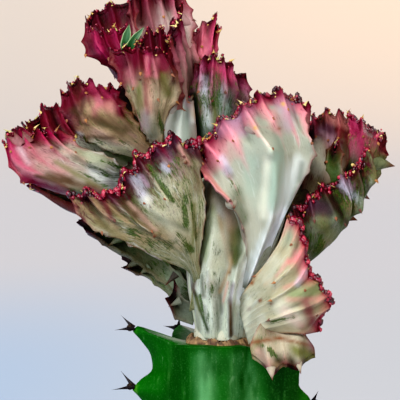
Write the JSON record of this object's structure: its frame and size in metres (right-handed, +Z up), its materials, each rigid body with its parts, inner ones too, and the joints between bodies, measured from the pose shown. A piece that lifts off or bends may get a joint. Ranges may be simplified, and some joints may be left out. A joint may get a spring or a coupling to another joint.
{
  "type": "potted coral cactus",
  "caption": "Crested succulent with fan-shaped, toothed folds, grafted on a thorny winged green stem that stands in a round pot of soil.",
  "frame": {"origin": "centre of the pot's foot, on the surface it stands on", "axes": "+Z up along the pot's axis, +Y away from the crest's front, +X to the right seen from the front"},
  "size_m": [0.112, 0.112, 0.2588],
  "materials": {
    "terracotta": "matt, unglazed",
    "potting_mix": "loose and matt",
    "green_stem": "waxy satin",
    "crest_skin": "waxy satin"
  },
  "bodies": {
    "root": {"pot": "terracotta", "soil": "potting_mix", "rootstock": "green_stem", "crest": "crest_skin"}
  },
  "joints": []
}
